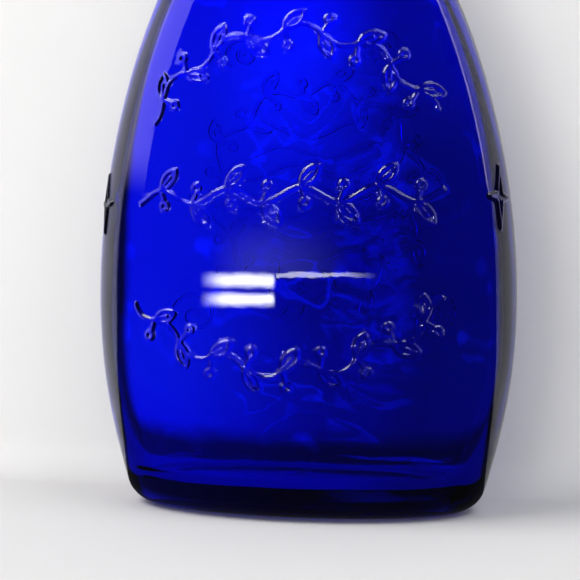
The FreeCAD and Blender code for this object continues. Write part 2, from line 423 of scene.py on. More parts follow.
def fine_line(line, step=0.0004):
    """The line with points added, so that none is further than a step from the next."""
    points = [line[0]]
    for start, end in zip(line, line[1:]):
        count = max(1, math.ceil(math.dist(start, end) / step))
        for i in range(1, count + 1):
            share = i / count
            points.append(tuple(a + (b - a) * share for a, b in zip(start, end)))
    return points


strokes = bmesh.new()
stroke_spots = []
for lines, middle_way, direction in ((front_lines, FRONT_WAY, 1), (back_lines, BACK_WAY, -1)):
    for line in lines:
        spots = [flat_place(p, middle_way, direction) for p in fine_line(line)]
        stroke_spots.append(np.array(spots))
        corners = [strokes.verts.new(on_glass(*spot)) for spot in spots]
        for start, end in zip(corners, corners[1:]):
            strokes.edges.new((start, end))
stroke_mesh = bpy.data.meshes.new("ornament_lines")
strokes.to_mesh(stroke_mesh)
strokes.free()
stroke_lines = bpy.data.objects.new("ornament_lines", stroke_mesh)
bpy.context.collection.objects.link(stroke_lines)

# The side wall's points in the flat layout: a plain grid everywhere, and a fine one where a
# ridge stands, so that each ridge has a round profile.
FINE_STEP = 0.00033
angles = np.linspace(0, TAU, ROUND_STEPS + 1)
grid_ways = np.interp(angles, angle_table, way_table) * BELLY_HALF_WIDTH
grid = [(way, level) for level in side_levels for way in grid_ways]
columns = int(WAY_ROUND * BELLY_HALF_WIDTH / FINE_STEP) + 1
rows = int((side_levels[-1] - side_start) / FINE_STEP)
near = np.zeros((rows, columns), dtype=bool)
reach = int(math.ceil(1.25 * RIDGE_HALF_WIDTH / FINE_STEP))
disc = [
    (dy, dx)
    for dy in range(-reach, reach + 1)
    for dx in range(-reach, reach + 1)
    if dy * dy + dx * dx <= reach * reach
]
spots = np.concatenate(stroke_spots)
spot_rows = np.round((spots[:, 1] - side_start) / FINE_STEP).astype(int)
spot_columns = np.round(spots[:, 0] / FINE_STEP).astype(int)
for dy, dx in disc:
    near[np.clip(spot_rows + dy, 2, rows - 3), np.clip(spot_columns + dx, 2, columns - 3)] = True
fine_rows, fine_columns = np.nonzero(near)
stagger = np.where(fine_rows % 2 == 0, 0.0, 0.5)
fine = np.stack(
    [(fine_columns + stagger) * FINE_STEP, side_start + fine_rows * FINE_STEP], axis=-1
)
# A plain grid point among the fine ones would only make slivers, so it is left out.
kept = []
for way, level in grid:
    row = min(max(int(round((level - side_start) / FINE_STEP)), 0), rows - 1)
    column = min(max(int(round(way / FINE_STEP)), 0), columns - 1)
    edge = level in (side_levels[0], side_levels[-1]) or way in (grid_ways[0], grid_ways[-1])
    if edge or not near[row, column]:
        kept.append((way, level))
flat_points = [Vector(p) for p in kept] + [Vector(p) for p in fine]
triangulated = geometry.delaunay_2d_cdt(flat_points, [], [], 0, 1e-7)
side_spots, side_faces = triangulated[0], triangulated[2]

# The whole closed skin. The attribute marks the hollow's two broad walls. It dies away towards
# the sides and the seat, where the glass is thick and even.
glass = bmesh.new()
inner_mark = glass.verts.layers.float.new("inner_skin")
spot_array = np.array([tuple(s) for s in side_spots])
side_places = on_glass(spot_array[:, 0], spot_array[:, 1])
side_verts = [glass.verts.new(p) for p in side_places]
for face in side_faces:
    glass.faces.new([side_verts[i] for i in face])


def ring_of(row):
    width, depth, level = row
    return [
        glass.verts.new((width * math.cos(a), depth * math.sin(a), level)) for a in angles[:-1]
    ]


def join_rings(lower, upper):
    for i in range(ROUND_STEPS):
        following = (i + 1) % ROUND_STEPS
        glass.faces.new((lower[i], lower[following], upper[following], upper[i]))


def close_middle(ring, level, upwards):
    middle = glass.verts.new((0, 0, level))
    for i in range(ROUND_STEPS):
        pair = (ring[i], ring[(i + 1) % ROUND_STEPS])
        glass.faces.new((middle, *pair) if upwards else (middle, *pair[::-1]))


foot_rings = [ring_of(row) for row in foot_rows]
foot_rings.append(ring_of((half_width_at(side_start), half_depth_at(side_start), side_start)))
side_top = side_levels[-1]
upper_rings = [ring_of((half_width_at(side_top), half_depth_at(side_top), side_top))]
# The first rows below the seat have no mark, and over the next ones it grows to full. Round a
# row it grows from this sine of the angle up to the middle of the broad side.
EVEN_ROWS, MARK_ROWS = 5, 10
MARK_FROM = 0.45
for number, row in enumerate(upper_rows):
    ring = ring_of(row)
    depth_share = min(max((number - last_seat_row - EVEN_ROWS) / MARK_ROWS, 0.0), 1.0)
    for vert, angle in zip(ring, angles):
        broad_share = (abs(math.sin(angle)) - MARK_FROM) / (1 - MARK_FROM)
        vert[inner_mark] = depth_share * max(0.0, broad_share)
    upper_rings.append(ring)
for lower, upper in zip(foot_rings, foot_rings[1:]):
    join_rings(lower, upper)
for lower, upper in zip(upper_rings, upper_rings[1:]):
    join_rings(lower, upper)
close_middle(foot_rings[0], foot_rows[0][2], upwards=False)
close_middle(upper_rings[-1], BASE_THICKNESS, upwards=True)
bmesh.ops.remove_doubles(glass, verts=glass.verts, dist=2e-6)
glass_mesh = bpy.data.meshes.new("glass_bottle")
glass.to_mesh(glass_mesh)
glass.free()
glass_bottle = bpy.data.objects.new("glass_bottle", glass_mesh)
bpy.context.collection.objects.link(glass_bottle)


def shaping_tree(name, geometry_name, values):
    """A Geometry Nodes tree with its sockets: the geometry, numbers and objects, a material."""
    tree = bpy.data.node_groups.new(name, "GeometryNodeTree")
    tree.is_modifier = True
    sockets = [(geometry_name, "Geometry", None), *values, ("Material", "Material", None)]
    for label, kind, first in sockets:
        socket = tree.interface.new_socket(label, in_out="INPUT", socket_type="NodeSocket" + kind)
        if first is not None:
            socket.default_value = first
    tree.interface.new_socket(geometry_name, in_out="OUTPUT", socket_type="NodeSocketGeometry")
    return tree


def add_node(tree, kind, **settings):
    node = tree.nodes.new(kind)
    for name, value in settings.items():
        setattr(node, name, value)
    return node


# The ridges stand out along the glass's own normal, round in profile, and the inner skin has
# the slow waves that blowing leaves in it.
relief_values = [
    ("Ornament lines", "Object", None),
    ("Ridge height", "Float", RIDGE_HEIGHT),
    ("Ridge half width", "Float", RIDGE_HALF_WIDTH),
    ("Wave height", "Float", 0.0006),
    ("Wave scale", "Float", 30.0),
]
relief = shaping_tree("moulded_relief", "Glass", relief_values)
group_in = add_node(relief, "NodeGroupInput")
group_out = add_node(relief, "NodeGroupOutput")
lines_in = add_node(relief, "GeometryNodeObjectInfo")
nearest = add_node(relief, "GeometryNodeProximity", target_element="EDGES")
profile = add_node(relief, "ShaderNodeMapRange", interpolation_type="SMOOTHSTEP")
normal = add_node(relief, "GeometryNodeInputNormal")
rise = add_node(relief, "ShaderNodeVectorMath", operation="SCALE")
raised = add_node(relief, "GeometryNodeSetPosition")
inner = add_node(relief, "GeometryNodeInputNamedAttribute", data_type="FLOAT")
waves = add_node(relief, "ShaderNodeTexNoise", noise_dimensions="3D")
centred = add_node(relief, "ShaderNodeMath", operation="SUBTRACT")
masked = add_node(relief, "ShaderNodeMath", operation="MULTIPLY")
sized = add_node(relief, "ShaderNodeMath", operation="MULTIPLY")
sway = add_node(relief, "ShaderNodeVectorMath", operation="SCALE")
waved = add_node(relief, "GeometryNodeSetPosition")
realised = add_node(relief, "GeometryNodeRealizeInstances")
painted = add_node(relief, "GeometryNodeSetMaterial")
inner.inputs["Name"].default_value = "inner_skin"
waves.inputs["Detail"].default_value = 1.5
waves.inputs["Distortion"].default_value = 0.8
centred.inputs[1].default_value = 0.5
link = relief.links.new
link(group_in.outputs["Ornament lines"], lines_in.inputs["Object"])
link(lines_in.outputs["Geometry"], nearest.inputs[0])
link(nearest.outputs["Distance"], profile.inputs["Value"])
link(group_in.outputs["Ridge half width"], profile.inputs["From Max"])
link(group_in.outputs["Ridge height"], profile.inputs["To Min"])
profile.inputs["To Max"].default_value = 0.0
link(normal.outputs[0], rise.inputs[0])
link(profile.outputs["Result"], rise.inputs["Scale"])
link(group_in.outputs["Glass"], raised.inputs["Geometry"])
link(rise.outputs[0], raised.inputs["Offset"])
link(group_in.outputs["Wave scale"], waves.inputs["Scale"])
link(waves.outputs[0], centred.inputs[0])
link(centred.outputs[0], masked.inputs[0])
link(inner.outputs[0], masked.inputs[1])
link(masked.outputs[0], sized.inputs[0])
link(group_in.outputs["Wave height"], sized.inputs[1])
link(normal.outputs[0], sway.inputs[0])
link(sized.outputs[0], sway.inputs["Scale"])
link(raised.outputs[0], waved.inputs["Geometry"])
link(sway.outputs[0], waved.inputs["Offset"])
link(waved.outputs[0], realised.inputs[0])
link(realised.outputs[0], painted.inputs["Geometry"])
link(group_in.outputs["Material"], painted.inputs["Material"])
link(painted.outputs[0], group_out.inputs[0])


def handling_marks():
    """A shader group for what years of handling leave on a surface: smears that change its
    roughness in patches, and a fine unevenness. Both are larger or smaller with the scale."""
    group = bpy.data.node_groups.new("handling_marks", "ShaderNodeTree")
    for label, first in (("Clean", 0.0), ("Smeared", 0.1), ("Scale", 45.0)):
        socket = group.interface.new_socket(label, in_out="INPUT", socket_type="NodeSocketFloat")
        socket.default_value = first
    for label in ("Roughness", "Height"):
        group.interface.new_socket(label, in_out="OUTPUT", socket_type="NodeSocketFloat")
    start = add_node(group, "NodeGroupInput")
    end = add_node(group, "NodeGroupOutput")
    place = add_node(group, "ShaderNodeTexCoord")
    smear = add_node(group, "ShaderNodeTexNoise")
    smear.inputs["Detail"].default_value = 6.0
    smear.inputs["Distortion"].default_value = 1.2
    contrast = add_node(group, "ShaderNodeMapRange", interpolation_type="SMOOTHSTEP")
    contrast.inputs["From Min"].default_value = 0.45
    contrast.inputs["From Max"].default_value = 0.75
    finer = add_node(group, "ShaderNodeMath", operation="MULTIPLY")
    finer.inputs[1].default_value = 3.0
    unevenness = add_node(group, "ShaderNodeTexNoise")
    unevenness.inputs["Detail"].default_value = 2.0
    join = group.links.new
    join(place.outputs["Object"], smear.inputs["Vector"])
    join(start.outputs["Scale"], smear.inputs["Scale"])
    join(smear.outputs[0], contrast.inputs["Value"])
    join(start.outputs["Clean"], contrast.inputs["To Min"])
    join(start.outputs["Smeared"], contrast.inputs["To Max"])
    join(place.outputs["Object"], unevenness.inputs["Vector"])
    join(start.outputs["Scale"], finer.inputs[0])
    join(finer.outputs[0], unevenness.inputs["Scale"])
    join(contrast.outputs["Result"], end.inputs["Roughness"])
    join(unevenness.outputs[0], end.inputs["Height"])
    return group


marks_group = handling_marks()

# Cobalt glass: clear at the surface, and dyed through its thickness. It passes blue, a trace of
# green and next to no red.
cobalt = bpy.data.materials.new("cobalt_glass")
cobalt.use_nodes = True
shader = cobalt.node_tree.nodes["Principled BSDF"]
shader.inputs["Base Color"].default_value = (1, 1, 1, 1)
shader.inputs["Transmission Weight"].default_value = 1.0
shader.inputs["IOR"].default_value = 1.52
marks = add_node(cobalt.node_tree, "ShaderNodeGroup", node_tree=marks_group)
marks.inputs["Clean"].default_value = 0.0
marks.inputs["Smeared"].default_value = 0.05
peel = add_node(cobalt.node_tree, "ShaderNodeBump")
peel.inputs["Strength"].default_value = 0.03
peel.inputs["Distance"].default_value = 0.0004
# The hollow's wall was never touched by the mould, so it has swirls left by the blowing.
hollow_only = add_node(cobalt.node_tree, "ShaderNodeAttribute", attribute_name="inner_skin")
inside_place = add_node(cobalt.node_tree, "ShaderNodeTexCoord")
swirls = add_node(cobalt.node_tree, "ShaderNodeTexNoise")
swirls.inputs["Scale"].default_value = 34.0
swirls.inputs["Detail"].default_value = 0.5
swirls.inputs["Distortion"].default_value = 1.6
swirl_height = add_node(cobalt.node_tree, "ShaderNodeMath", operation="MULTIPLY")
rippled = add_node(cobalt.node_tree, "ShaderNodeBump")
rippled.inputs["Strength"].default_value = 0.40
rippled.inputs["Distance"].default_value = 0.0012
dye = add_node(cobalt.node_tree, "ShaderNodeVolumeAbsorption")
dye.inputs["Color"].default_value = (0.08, 0.32, 0.966, 1)
dye.inputs["Density"].default_value = 1000.0
join = cobalt.node_tree.links.new
join(marks.outputs["Roughness"], shader.inputs["Roughness"])
join(marks.outputs["Height"], peel.inputs["Height"])
join(inside_place.outputs["Object"], swirls.inputs["Vector"])
join(swirls.outputs[0], swirl_height.inputs[0])
join(hollow_only.outputs["Fac"], swirl_height.inputs[1])
join(swirl_height.outputs[0], rippled.inputs["Height"])
join(peel.outputs["Normal"], rippled.inputs["Normal"])
join(rippled.outputs["Normal"], shader.inputs["Normal"])
join(dye.outputs["Volume"], cobalt.node_tree.nodes["Material Output"].inputs["Volume"])


def shaped_by(piece, tree, settings):
    """Runs a Geometry Nodes tree on a piece and leaves the result as its plain mesh."""
    modifier = piece.modifiers.new(tree.name, "NODES")
    modifier.node_group = tree
    for item in tree.interface.items_tree:
        if item.in_out == "INPUT" and item.name in settings:
            modifier[item.identifier] = settings[item.name]
    evaluated = piece.evaluated_get(bpy.context.evaluated_depsgraph_get())
    result = bpy.data.meshes.new_from_object(evaluated)
    piece.modifiers.clear()
    piece.data = result
    piece.data.shade_smooth()


shaped_by(glass_bottle, relief, {"Ornament lines": stroke_lines, "Material": cobalt})
bpy.data.objects.remove(stroke_lines)
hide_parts("bottle")
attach(glass_bottle, "bottle_body")

# ---------------------------------------------------------------- the cork
# A tapered stopper punched from natural bark, so its pores run across it. It is pushed by hand
# into the mouth, where only its own squeeze holds it.
CORK_LOW, CORK_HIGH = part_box("cork_stopper")
CORK_CLEARANCE = 0.00005
CORK_CHAMFER = 0.0008
CORK_STEPS = 150
CORK_ROWS, CHAMFER_ROWS, CORK_END_RINGS = 84, 5, 26
SEAT_TAPER = (MOUTH_RADIUS - BORE_RADIUS) / SEAT_DEPTH


def cork_radius(level):
    """The cork's radius at a level: that of its seat, carried on above the lip."""
    return BORE_RADIUS + (level - seat_foot) * SEAT_TAPER - CORK_CLEARANCE


cork_side = np.linspace(CORK_LOW.z + CORK_CHAMFER, CORK_HIGH.z - CORK_CHAMFER, CORK_ROWS)
cork_rows = [(cork_radius(z), z) for z in cork_side]
for end_level, inwards in ((CORK_HIGH.z, -1), (CORK_LOW.z, 1)):
    rim = cork_radius(end_level) - CORK_CHAMFER
    end_rows = []
    for turn in np.linspace(0, math.pi / 2, CHAMFER_ROWS)[1:]:
        out = CORK_CHAMFER * math.cos(turn)
        up = inwards * CORK_CHAMFER * (1 - math.sin(turn))
        end_rows.append((rim + out, end_level + up))
    end_shares = np.linspace(1, 0, CORK_END_RINGS)[1:-1]
    end_rows += [(rim * share, end_level) for share in end_shares]
    cork_rows = cork_rows + end_rows if inwards < 0 else end_rows[::-1] + cork_rows

plug = bmesh.new()
cork_angles = np.linspace(0, TAU, CORK_STEPS, endpoint=False)
plug_rings = [
    [plug.verts.new((r * math.cos(a), r * math.sin(a), z)) for a in cork_angles]
    for r, z in cork_rows
]
for lower, upper in zip(plug_rings, plug_rings[1:]):
    for i in range(CORK_STEPS):
        following = (i + 1) % CORK_STEPS
        plug.faces.new((lower[i], lower[following], upper[following], upper[i]))
for ring, level in ((plug_rings[0], CORK_LOW.z), (plug_rings[-1], CORK_HIGH.z)):
    pole = plug.verts.new((0, 0, level))
    for i in range(CORK_STEPS):
        plug.faces.new((ring[i], ring[(i + 1) % CORK_STEPS], pole))
bmesh.ops.recalc_face_normals(plug, faces=plug.faces)
plug_mesh = bpy.data.meshes.new("cork_plug")
plug.to_mesh(plug_mesh)
plug.free()
cork_plug = bpy.data.objects.new("cork_plug", plug_mesh)
bpy.context.collection.objects.link(cork_plug)

# Bark has a fine crumbled skin and deeper pores, long across the cork. Both only go inwards.
PORE_SCALE = 330.0
PORE_STRETCH = (0.4, 1.0, 1.0)
bark_values = [
    ("Crumb depth", "Float", 0.00018),
    ("Crumb scale", "Float", 900.0),
    ("Pore depth", "Float", 0.0008),
    ("Pore scale", "Float", PORE_SCALE),
    ("Pore share", "Float", 0.20),
]
bark = shaping_tree("bark_surface", "Cork", bark_values)
bark_in = add_node(bark, "NodeGroupInput")
bark_out = add_node(bark, "NodeGroupOutput")
where = add_node(bark, "GeometryNodeInputPosition")
stretched = add_node(bark, "ShaderNodeVectorMath", operation="MULTIPLY")
stretched.inputs[1].default_value = PORE_STRETCH
pores = add_node(bark, "ShaderNodeTexVoronoi", feature="F1")
sunk = add_node(bark, "ShaderNodeMapRange", interpolation_type="SMOOTHSTEP")
sunk.inputs["To Max"].default_value = 0.0
crumbs = add_node(bark, "ShaderNodeTexNoise")
crumbs.inputs["Detail"].default_value = 3.0
crumb_size = add_node(bark, "ShaderNodeMath", operation="MULTIPLY")
depth = add_node(bark, "ShaderNodeMath", operation="ADD")
inward = add_node(bark, "ShaderNodeMath", operation="MULTIPLY")
inward.inputs[1].default_value = -1.0
bark_normal = add_node(bark, "GeometryNodeInputNormal")
bark_shift = add_node(bark, "ShaderNodeVectorMath", operation="SCALE")
crumbled = add_node(bark, "GeometryNodeSetPosition")
bark_whole = add_node(bark, "GeometryNodeRealizeInstances")
bark_painted = add_node(bark, "GeometryNodeSetMaterial")
link = bark.links.new
link(where.outputs[0], stretched.inputs[0])
link(stretched.outputs[0], pores.inputs["Vector"])
link(bark_in.outputs["Pore scale"], pores.inputs["Scale"])
link(pores.outputs["Distance"], sunk.inputs["Value"])
link(bark_in.outputs["Pore share"], sunk.inputs["From Max"])
link(bark_in.outputs["Pore depth"], sunk.inputs["To Min"])
link(where.outputs[0], crumbs.inputs["Vector"])
link(bark_in.outputs["Crumb scale"], crumbs.inputs["Scale"])
link(crumbs.outputs[0], crumb_size.inputs[0])
link(bark_in.outputs["Crumb depth"], crumb_size.inputs[1])
link(crumb_size.outputs[0], depth.inputs[0])
link(sunk.outputs["Result"], depth.inputs[1])
link(depth.outputs[0], inward.inputs[0])
link(bark_normal.outputs[0], bark_shift.inputs[0])
link(inward.outputs[0], bark_shift.inputs["Scale"])
link(bark_in.outputs["Cork"], crumbled.inputs["Geometry"])
link(bark_shift.outputs[0], crumbled.inputs["Offset"])
link(crumbled.outputs[0], bark_whole.inputs[0])
link(bark_whole.outputs[0], bark_painted.inputs["Geometry"])
link(bark_in.outputs["Material"], bark_painted.inputs["Material"])
link(bark_painted.outputs[0], bark_out.inputs[0])

cork = bpy.data.materials.new("cork")
cork.use_nodes = True
nodes, join = cork.node_tree.nodes, cork.node_tree.links.new
shader = nodes["Principled BSDF"]
place = add_node(cork.node_tree, "ShaderNodeTexCoord")
cloudy = add_node(cork.node_tree, "ShaderNodeTexNoise")
cloudy.inputs["Scale"].default_value = 160.0
cloudy.inputs["Detail"].default_value = 5.0
tan = add_node(cork.node_tree, "ShaderNodeValToRGB")
tan.color_ramp.elements[0].position = 0.32
tan.color_ramp.elements[0].color = (0.33, 0.185, 0.085, 1)
tan.color_ramp.elements[1].position = 0.68
tan.color_ramp.elements[1].color = (0.60, 0.40, 0.22, 1)
across = add_node(cork.node_tree, "ShaderNodeMapping")
across.inputs["Scale"].default_value = PORE_STRETCH
pore_spots = add_node(cork.node_tree, "ShaderNodeTexVoronoi", feature="F1")
pore_spots.inputs["Scale"].default_value = PORE_SCALE
pore_mask = add_node(cork.node_tree, "ShaderNodeMapRange", interpolation_type="SMOOTHSTEP")
pore_mask.inputs["From Min"].default_value = 0.10
pore_mask.inputs["From Max"].default_value = 0.24
pore_mask.inputs["To Min"].default_value = 1.0
pore_mask.inputs["To Max"].default_value = 0.0
specks = add_node(cork.node_tree, "ShaderNodeTexVoronoi", feature="F1")
specks.inputs["Scale"].default_value = 1100.0
speck_mask = add_node(cork.node_tree, "ShaderNodeMapRange", interpolation_type="SMOOTHSTEP")
speck_mask.inputs["From Min"].default_value = 0.12
speck_mask.inputs["From Max"].default_value = 0.26
speck_mask.inputs["To Min"].default_value = 0.7
speck_mask.inputs["To Max"].default_value = 0.0
darker = add_node(cork.node_tree, "ShaderNodeMix", data_type="RGBA")
darker.inputs["B"].default_value = (0.16, 0.075, 0.032, 1)
darkest = add_node(cork.node_tree, "ShaderNodeMix", data_type="RGBA")
darkest.inputs["B"].default_value = (0.075, 0.033, 0.015, 1)
handled = add_node(cork.node_tree, "ShaderNodeGroup", node_tree=marks_group)
handled.inputs["Clean"].default_value = 0.92
handled.inputs["Smeared"].default_value = 0.62
handled.inputs["Scale"].default_value = 260.0
grainy = add_node(cork.node_tree, "ShaderNodeBump")
grainy.inputs["Strength"].default_value = 0.6
grainy.inputs["Distance"].default_value = 0.0003
shader.inputs["Specular IOR Level"].default_value = 0.3
join(place.outputs["Object"], cloudy.inputs["Vector"])
join(cloudy.outputs[0], tan.inputs[0])
join(place.outputs["Object"], across.inputs["Vector"])
join(across.outputs[0], pore_spots.inputs["Vector"])
join(pore_spots.outputs["Distance"], pore_mask.inputs["Value"])
join(place.outputs["Object"], specks.inputs["Vector"])
join(specks.outputs["Distance"], speck_mask.inputs["Value"])
join(speck_mask.outputs["Result"], darker.inputs["Factor"])
join(tan.outputs[0], darker.inputs["A"])
join(pore_mask.outputs["Result"], darkest.inputs["Factor"])
join(darker.outputs["Result"], darkest.inputs["A"])
join(darkest.outputs["Result"], shader.inputs["Base Color"])
join(handled.outputs["Roughness"], shader.inputs["Roughness"])
join(handled.outputs["Height"], grainy.inputs["Height"])
join(grainy.outputs["Normal"], shader.inputs["Normal"])

shaped_by(cork_plug, bark, {"Material": cork})
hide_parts("cork_stopper")
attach(cork_plug, "stopper")

# ---------------------------------------------------------------- the stage
# A pale sheet behind the bottle curves forward into a pale floor. The light is soft: a large
# panel high on the left, a weaker one on the right, a twin-tube fitting in front and pale walls.
SHEET_REACH = 6.0
COVE_RADIUS = 0.013
SHEET_SHADE = (0.86, 0.86, 0.85)
# The level floor's paint is darker than the sheet's, as painted shade.
FLOOR_PAINTED_SHADE = (0.56, 0.56, 0.555)
SHEET_GAP = 0.0002
sheet_y = cad_high.y + SHEET_GAP


# Painted shadow and painted light on the sheet, seen only through the glass. Its colour is
# darkened as painted shadow past both sides of the bottle, behind the foot and to the right of
# the middle, where less light would come, and it glows as painted light in a pool behind the
# upper middle with swirled patches, over the left side, and in a line under the foot.
# Each is a pair of places that it changes between, and the pair of its values there.
SIDE_PAINTED_SHADE = (0.068, 0.076), (1.0, 0.02)
FOOT_PAINTED_SHADOW = (0.010, 0.020), (0.10, 1.0)
RIGHT_PAINTED_SHADE = (0.010, 0.036), (0.0, 1.0)
RIGHT_PAINTED_SHADE_BY_LEVEL = (0.105, 0.140), (0.50, 0.12)
POOL_CENTRE, POOL_REACH = (-0.008, 0.0, 0.152), (0.036, 1.0, 0.085)
POOL_PAINTED_LIGHT = (0.0, 1.0), (0.95, 0.0)
LEFT_PAINTED_LIGHT = (-0.045, 0.010), (0.58, 0.10)
PATCH_PAINTED_LIGHT = (0.62, 0.76), (0.0, 0.55)
PATCH_SCALE, PATCH_DETAIL, PATCH_DISTORTION = 62.0, 1.0, 1.1
FOOT_LINE_PAINTED_LIGHT = (0.0012, 0.0030), (0.44, 0.0)


def ramp_node(tree, source, change):
    """A smooth step between two values while the source goes from the first place to the second."""
    (start, end), (first, last) = change
    ramp = add_node(tree, "ShaderNodeMapRange", interpolation_type="SMOOTHSTEP")
    ramp.inputs["From Min"].default_value = start
    ramp.inputs["From Max"].default_value = end
    ramp.inputs["To Min"].default_value = first
    ramp.inputs["To Max"].default_value = last
    tree.links.new(source, ramp.inputs["Value"])
    return ramp.outputs["Result"]


def math_node(tree, operation, first, second):
    """The result of a sum on two sockets, or on a socket and a number."""
    node = add_node(tree, "ShaderNodeMath", operation=operation)
    tree.links.new(first, node.inputs[0])
    if isinstance(second, float):
        node.inputs[1].default_value = second
    else:
        tree.links.new(second, node.inputs[1])
    return node.outputs[0]


def painted_light_through_glass(tree, shader, shade):
    """Darkens the paint as painted shadow and lights it as painted light where seen through glass.
    """
    path = add_node(tree, "ShaderNodeLightPath")
    seen = math_node(tree, "GREATER_THAN", path.outputs["Transmission Depth"], 0.5)
    place = add_node(tree, "ShaderNodeTexCoord")
    parts = add_node(tree, "ShaderNodeSeparateXYZ")
    tree.links.new(place.outputs["Object"], parts.inputs[0])
    across, level = parts.outputs["X"], parts.outputs["Z"]
    aside = add_node(tree, "ShaderNodeMath", operation="ABSOLUTE")
    tree.links.new(across, aside.inputs[0])
    # Painted shadow: the colour is darkened past both sides, to the right of the middle and behind
    # the foot.
    sides = ramp_node(tree, aside.outputs[0], SIDE_PAINTED_SHADE)
    right_side = ramp_node(tree, across, RIGHT_PAINTED_SHADE)
    below = ramp_node(tree, level, RIGHT_PAINTED_SHADE_BY_LEVEL)
    right_loss = math_node(tree, "MULTIPLY", right_side, below)
    right_kept = math_node(tree, "MULTIPLY_ADD", right_loss, -1.0)
    right_kept.node.inputs[2].default_value = 1.0
    foot = ramp_node(tree, level, FOOT_PAINTED_SHADOW)
    kept = math_node(tree, "MULTIPLY", sides, math_node(tree, "MULTIPLY", right_kept, foot))
    painted_shade_colour = add_node(tree, "ShaderNodeMix", data_type="RGBA", blend_type="MULTIPLY")
    tree.links.new(seen, painted_shade_colour.inputs["Factor"])
    tree.links.new(shade, painted_shade_colour.inputs["A"])
    tree.links.new(kept, painted_shade_colour.inputs["B"])
    tree.links.new(painted_shade_colour.outputs["Result"], shader.inputs["Base Color"])
    # The painted light, a glow from the paint: a soft pool with swirled brighter patches, and a
    # line under the foot.
    centred = add_node(tree, "ShaderNodeVectorMath", operation="SUBTRACT")
    centred.inputs[1].default_value = POOL_CENTRE
    shared = add_node(tree, "ShaderNodeVectorMath", operation="DIVIDE")
    shared.inputs[1].default_value = POOL_REACH
    reach = add_node(tree, "ShaderNodeVectorMath", operation="LENGTH")
    tree.links.new(place.outputs["Object"], centred.inputs[0])
    tree.links.new(centred.outputs[0], shared.inputs[0])
    tree.links.new(shared.outputs[0], reach.inputs[0])
    pool = ramp_node(tree, reach.outputs["Value"], POOL_PAINTED_LIGHT)
    left_side = ramp_node(tree, across, LEFT_PAINTED_LIGHT)
    patches = add_node(tree, "ShaderNodeTexNoise")
    patches.inputs["Scale"].default_value = PATCH_SCALE
    patches.inputs["Detail"].default_value = PATCH_DETAIL
    patches.inputs["Distortion"].default_value = PATCH_DISTORTION
    tree.links.new(place.outputs["Object"], patches.inputs["Vector"])
    bright = ramp_node(tree, patches.outputs[0], PATCH_PAINTED_LIGHT)
    upper = math_node(tree, "ADD", math_node(tree, "ADD", pool, bright), left_side)
    upper = math_node(tree, "MULTIPLY", upper, math_node(tree, "MULTIPLY", sides, foot))
    under_foot = ramp_node(tree, level, FOOT_LINE_PAINTED_LIGHT)
    painted_light_sum = math_node(tree, "ADD", upper, under_foot)
    glow = math_node(tree, "MULTIPLY", math_node(tree, "MULTIPLY", painted_light_sum, right_kept), seen)
    shader.inputs["Emission Color"].default_value = (1, 1, 1, 1)
    tree.links.new(glow, shader.inputs["Emission Strength"])


def pale_paint(name, one_sided):
    """Matt paint, darker where it lies level than where it is upright, as painted shade."""
    paint = bpy.data.materials.new(name)
    paint.use_nodes = True
    nodes, join = paint.node_tree.nodes, paint.node_tree.links.new
    shader = nodes["Principled BSDF"]
    shader.inputs["Roughness"].default_value = 0.8
    shader.inputs["Specular IOR Level"].default_value = 0.1
    surface = add_node(paint.node_tree, "ShaderNodeNewGeometry")
    parts = add_node(paint.node_tree, "ShaderNodeSeparateXYZ")
    # The level parts take the darker floor paint, a painted shade.
    shade = add_node(paint.node_tree, "ShaderNodeMix", data_type="RGBA")
    shade.inputs["A"].default_value = (*SHEET_SHADE, 1)
    shade.inputs["B"].default_value = (*FLOOR_PAINTED_SHADE, 1)
    join(surface.outputs["Normal"], parts.inputs[0])
    join(parts.outputs["Z"], shade.inputs["Factor"])
    painted_light_through_glass(paint.node_tree, shader, shade.outputs["Result"])
    if one_sided:
        clear = add_node(paint.node_tree, "ShaderNodeBsdfTransparent")
        either = add_node(paint.node_tree, "ShaderNodeMixShader")
        join(surface.outputs["Backfacing"], either.inputs[0])
        join(shader.outputs[0], either.inputs[1])
        join(clear.outputs[0], either.inputs[2])
        join(either.outputs[0], nodes["Material Output"].inputs["Surface"])
    return paint


def stage_piece(name, profile, paint):
    """A stage surface: a line of places (forward, level) carried out to both sides."""
    mesh = bpy.data.meshes.new(name)
    places = [(x, y, z) for y, z in profile for x in (-SHEET_REACH, SHEET_REACH)]
    faces = [(2 * i, 2 * i + 1, 2 * i + 3, 2 * i + 2) for i in range(len(profile) - 1)]
    mesh.from_pydata(places, [], faces)
    mesh.shade_smooth()
    mesh.materials.append(paint)
    stage = bpy.data.objects.new(name, mesh)
    bpy.context.collection.objects.link(stage)
    return stage


cove = [
    (
        sheet_y - COVE_RADIUS * (1 - math.cos(turn)),
        COVE_RADIUS * (1 - math.sin(turn)),
    )
    for turn in np.linspace(math.pi / 2, 0, 25)
]
stage_piece("backing_sheet", [*cove, (sheet_y, SHEET_REACH)], pale_paint("sheet_paint_with_painted_light", True))
FLOOR_LEVEL = -0.0001
floor_profile = [(-SHEET_REACH, FLOOR_LEVEL), (SHEET_REACH, FLOOR_LEVEL)]
floor = stage_piece("pale_floor", floor_profile, pale_paint("floor_paint_with_painted_light", False))
floor.visible_glossy = False

CAMERA_TURN = math.radians(11.5)
AIM_LEVEL = 0.0658
AIM_OFFSET = -0.0037
VIEW_DISTANCE = 0.320
SENSOR_WIDTH, FOCAL_LENGTH = 36.0, 64.7
camera_way = Vector((math.sin(CAMERA_TURN), -math.cos(CAMERA_TURN), 0))
camera_side = Vector((math.cos(CAMERA_TURN), math.sin(CAMERA_TURN), 0))


